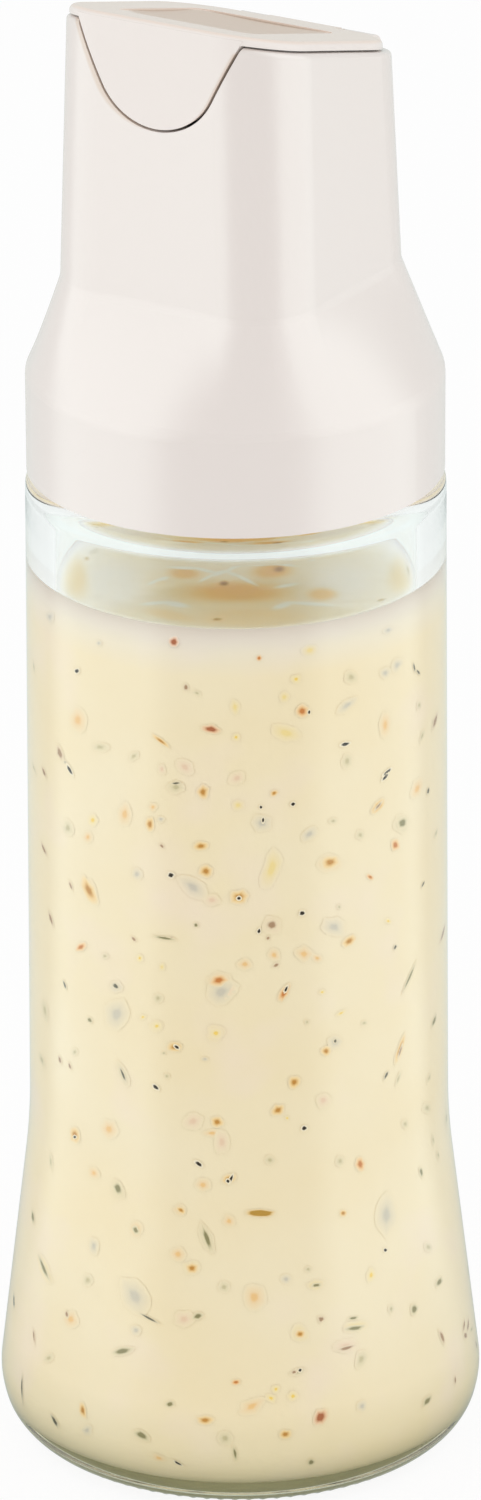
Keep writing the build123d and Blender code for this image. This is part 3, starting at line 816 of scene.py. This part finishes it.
def blend_marks(spot, marks):
    """The colour of the marks on the dressing's top at a point, and the share that they have there."""
    blend, left = Vector((1, 1, 1)), 1.0
    for kind, middle, along, across in marks:
        core, halo, strength, firm, reach = TOP_KINDS[kind]
        out, span = spot - middle, along.cross(across)
        way = Vector((out.cross(across), along.cross(out))).length / abs(span)
        if way < reach:
            fade = min(1, max(0, (way - firm) / (reach - firm)))
            share = strength * (1 - fade) ** 2 * (1 + 2 * fade)
            blend = blend.lerp(Vector(core).lerp(Vector(halo), fade), share / (1 - left * (1 - share)))
            left *= 1 - share
    return *blend, 1 - left


def radius_at(line, z):
    """The radius of a line in (r, z) at a height, on its last run that crosses it."""
    for a, b in zip(line, line[1:]):
        if a[1] <= z <= b[1] and b[1] > a[1]:
            return a[0] + (b[0] - a[0]) * (z - a[1]) / (b[1] - a[1])
    return line[-1][0]


# Studio
def studio_glow(tree, place, near=None):
    """Which rays see the studio's glow, its strength and its colour: white to the camera and through glass,
    while reflections see a dim side towards the camera, two bright sides and a paler one behind. A floor also
    has its strength near the bottle, where it lies in the shade."""

    def maths(operation, *values):
        return add_node(tree, "Math", enumerate(values), operation=operation).outputs[0]

    def vector(operation, *values):
        return add_node(tree, "VectorMath", enumerate(values), operation=operation).outputs

    def smooth(value, edge, low, high):
        inputs = {"Value": value, "From Min": edge[0], "From Max": edge[1], "To Min": low, "To Max": high}
        return add_node(tree, "MapRange", inputs, interpolation_type="SMOOTHSTEP").outputs["Result"]

    level = vector("NORMALIZE", vector("MULTIPLY", place, (1, 1, 0))["Vector"])["Vector"]
    towards = vector("DOT_PRODUCT", level, (math.sin(AZIMUTH), -math.cos(AZIMUTH), 0))["Value"]
    front = smooth(towards, FRONT_EDGE, 0, FRONT_GLOW - SIDE_GLOW)
    back = smooth(towards, BACK_EDGE, 0, BACK_GLOW - SIDE_GLOW)
    glow = maths("ADD", maths("ADD", front, back), SIDE_GLOW)
    if near is not None:
        away = smooth(vector("LENGTH", place)["Value"], [edge * MM for edge in NEAR_EDGE], 0, 1)
        glow = maths("ADD", maths("MULTIPLY", maths("SUBTRACT", glow, near), away), near)
    path = add_node(tree, "LightPath").outputs
    through = maths("MAXIMUM", path["Is Camera Ray"], path["Is Transmission Ray"])
    excess = maths("MULTIPLY", maths("SUBTRACT", glow, 1), through)
    seen = maths("MAXIMUM", through, path["Is Glossy Ray"])
    return seen, maths("SUBTRACT", glow, excess), mix_colours(tree, through, SIDE_TINT, (1, 1, 1))


def make_floor():
    half = 6.0
    mesh = bpy.data.meshes.new("floor")
    mesh.from_pydata([(-half, -half, 0), (half, -half, 0), (half, half, 0), (-half, half, 0)], [], [(0, 1, 2, 3)])
    floor = bpy.data.objects.new("floor", mesh)
    bpy.context.scene.collection.objects.link(floor)
    floor.location.z = -0.0002
    paper = Nodes("floor_paper", (0.9, 0.9, 0.9), 0.9)
    seen, strength, tint = studio_glow(paper.tree, paper.place, NEAR_GLOW)
    share = paper.maths("MULTIPLY", seen, 0.9)
    glow = paper.node("Emission", {"Color": tint, "Strength": strength})
    mixer = paper.node("MixShader", {0: share, 1: paper.shader.outputs[0], 2: glow.outputs[0]})
    paper.tree.links.new(mixer.outputs[0], paper.tree.nodes["Material Output"].inputs["Surface"])
    use(floor, paper)
    floor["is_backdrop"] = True


def make_world():
    world = bpy.data.worlds.new("studio")
    world.use_nodes = True
    bpy.context.scene.world = world
    tree = world.node_tree
    seen, strength, tint = studio_glow(tree, add_node(tree, "TexCoord").outputs["Generated"])
    light = tree.nodes["Background"]
    light.inputs["Color"].default_value = (1, 1, 1, 1)
    light.inputs["Strength"].default_value = AMBIENT
    shown = add_node(tree, "Background", {"Color": tint, "Strength": strength})
    mixer = add_node(tree, "MixShader", {0: seen, 1: light.outputs[0], 2: shown.outputs[0]})
    tree.links.new(mixer.outputs[0], tree.nodes["World Output"].inputs["Surface"])


def add_softbox(name, side_degrees, width, power):
    """A soft panel lamp that faces the bottle, placed by its angle from the camera. Sizes are in metres."""
    up_degrees, distance, height = 12, 0.9, 1.1
    data = bpy.data.lights.new(name, "AREA")
    data.shape = "RECTANGLE"
    data.size, data.size_y = width, height
    data.energy = power
    lamp = bpy.data.objects.new(name, data)
    angle = AZIMUTH + math.radians(side_degrees)
    up = math.radians(up_degrees)
    middle = Vector((0, 0, 0.12))
    away = Vector((math.sin(angle) * math.cos(up), -math.cos(angle) * math.cos(up), math.sin(up)))
    lamp.location = middle + away * distance
    lamp.rotation_euler = away.to_track_quat("Z", "Y").to_euler()
    bpy.context.scene.collection.objects.link(lamp)


add_camera()
make_world()
make_floor()
add_softbox("left_panel", side_degrees=-70, width=1.5, power=1.8)
add_softbox("right_panel", side_degrees=62, width=1.3, power=1.5)

glass_material, inner_material, soft_material = clear_glass(), inner_plastic(), silicone()
make_glass(glass_material)
neck_thread = {"tip": 25.6, "height": 1.6, "foot": 158.6, "turns": 1.75}
helix("neck_thread", NECK_R, glass_material, "bottle", "clear_glass", **neck_thread)
make_dressing(dressing_cream("dressing"), dressing_top())
add_flecks(dressing_cream("dressing_flecks", with_marks=True))
collar_thread = {"tip": 25.0, "height": 1.4, "foot": 160.6, "turns": 1.5}
helix("collar_thread", COLLAR_BORE_R, inner_material, "cap", "inner_plastic", **collar_thread)
finishes = {
    "cap_shell": cap_with_notch(),
    "lid_shell": lid_plastic(),
    "threaded_collar": inner_material,
    "pour_insert": inner_material,
    "lid_liner": inner_material,
    "neck_gasket": soft_material,
    "spout_seal": soft_material,
    "hinge_pin": steel(),
}
for node, nodes in finishes.items():
    use(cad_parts[node], nodes)

bpy.context.scene.view_settings.view_transform = "Standard"
[[list(corner) for corner in box] for box in (cad_box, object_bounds())]
